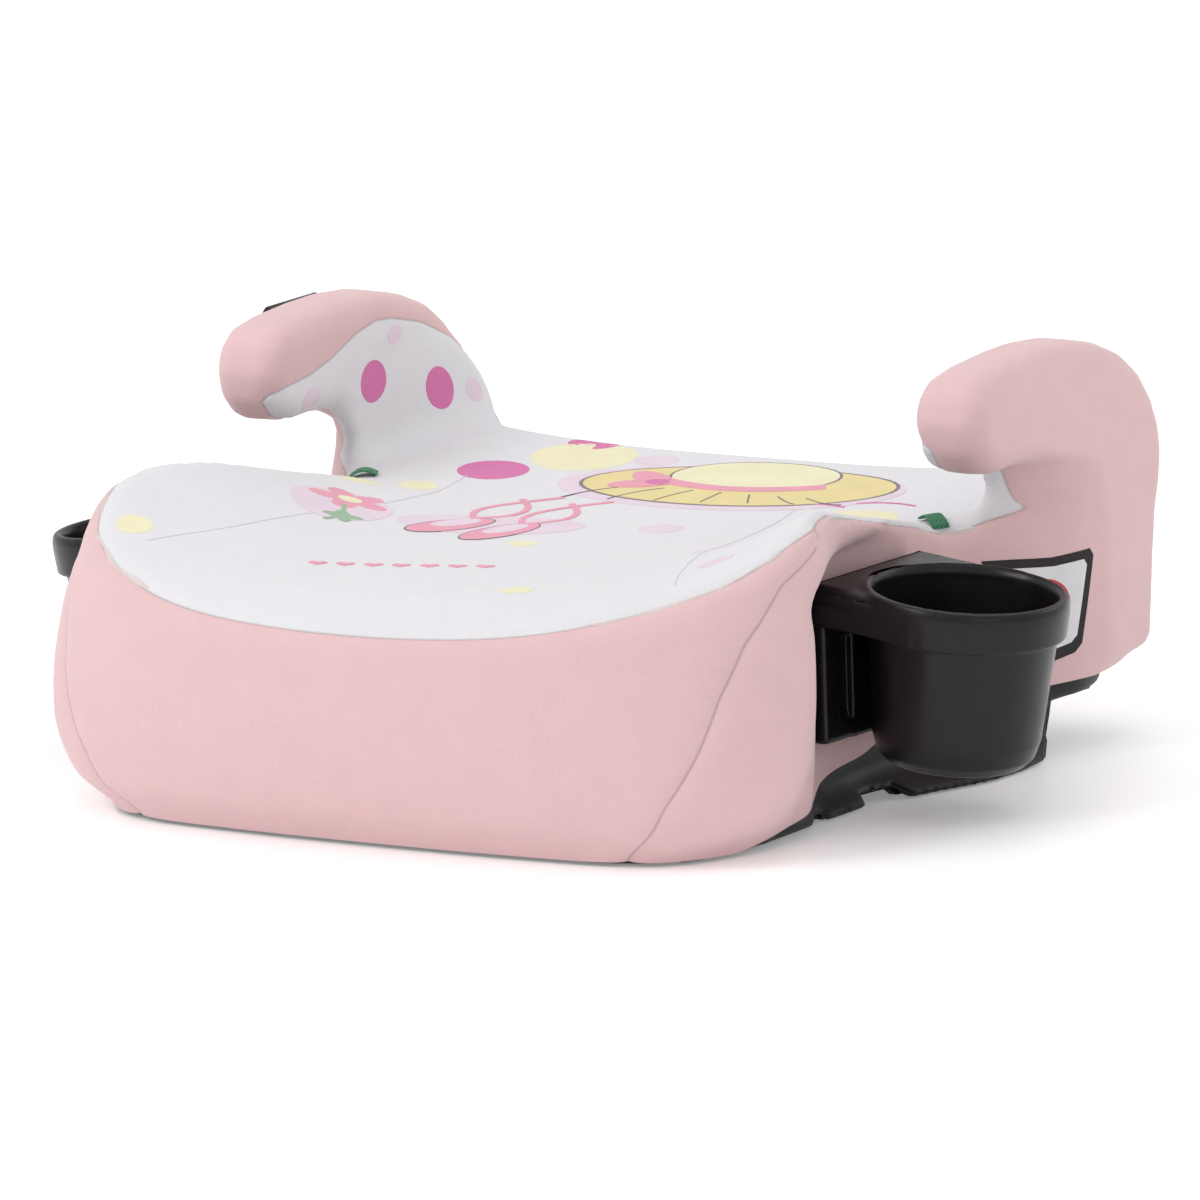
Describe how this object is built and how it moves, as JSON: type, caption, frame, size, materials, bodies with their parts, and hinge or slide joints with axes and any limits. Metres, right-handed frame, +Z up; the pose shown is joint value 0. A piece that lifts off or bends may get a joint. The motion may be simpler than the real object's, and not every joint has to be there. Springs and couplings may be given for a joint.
{
  "type": "booster seat",
  "caption": "Backless child car booster: padded fabric seat on a black ribbed base, curled armrests with belt gaps, lift-off cup holders and a shoulder-belt strap with clip.",
  "frame": {"origin": "middle of the footprint at floor height", "axes": "+Z up, the front of the seat faces -Y, +X to the right of someone facing the front"},
  "size_m": [0.5528, 0.422, 0.203],
  "materials": {
    "black_plastic": "fine texture",
    "gloss_black": "satin",
    "core_foam": "moulded foam",
    "foam": "open-cell foam",
    "pink_fabric": "woven polyester",
    "white_fabric": "printed woven polyester",
    "green_webbing": "ribbed ribbon",
    "black_webbing": "woven webbing",
    "screw_steel": "zinc plated",
    "pad_rubber": "matt"
  },
  "bodies": {
    "seat": {"base_shell": "black_plastic", "foot_pad_front_left": "pad_rubber", "foot_pad_middle_left": "pad_rubber", "foot_pad_rear_left": "pad_rubber", "foot_pad_front_right": "pad_rubber", "foot_pad_middle_right": "pad_rubber", "foot_pad_rear_right": "pad_rubber", "seat_core": "core_foam", "core_screw_1": "screw_steel", "core_screw_2": "screw_steel", "core_screw_3": "screw_steel", "core_screw_4": "screw_steel", "seat_foam": "foam", "armrest_frame_left": "black_plastic", "armrest_screw_left_1": "screw_steel", "armrest_screw_left_2": "screw_steel", "armrest_foam_left": "foam", "armrest_frame_right": "black_plastic", "armrest_screw_right_1": "screw_steel", "armrest_screw_right_2": "screw_steel", "armrest_foam_right": "foam", "cover_top": "white_fabric", "cover_front": "pink_fabric", "cover_rear": "pink_fabric", "cover_side_left": "pink_fabric", "cover_armrest_inner_left": "white_fabric", "cover_armrest_outer_left": "pink_fabric", "cover_side_right": "pink_fabric", "cover_armrest_inner_right": "white_fabric", "cover_armrest_outer_right": "pink_fabric", "belt_guide_left": "green_webbing", "belt_guide_right": "green_webbing", "cup_rail_left": "black_plastic", "rail_screw_left_1": "screw_steel", "rail_screw_left_2": "screw_steel", "cup_rail_right": "black_plastic", "rail_screw_right_1": "screw_steel", "rail_screw_right_2": "screw_steel", "belt_clip": "gloss_black", "clip_strap": "black_webbing", "strap_anchor": "black_plastic"},
    "cup_right": {"cup_holder_right": "gloss_black"},
    "cup_left": {"cup_holder_left": "gloss_black"}
  },
  "joints": [
    {"name": "cup_holder_right_lift", "type": "slide", "parent": "seat", "child": "cup_right", "axis": [0, 0, 1], "range_m": [0, 0.0125]},
    {"name": "cup_holder_left_lift", "type": "slide", "parent": "seat", "child": "cup_left", "axis": [0, 0, 1], "range_m": [0, 0.0125]}
  ]
}
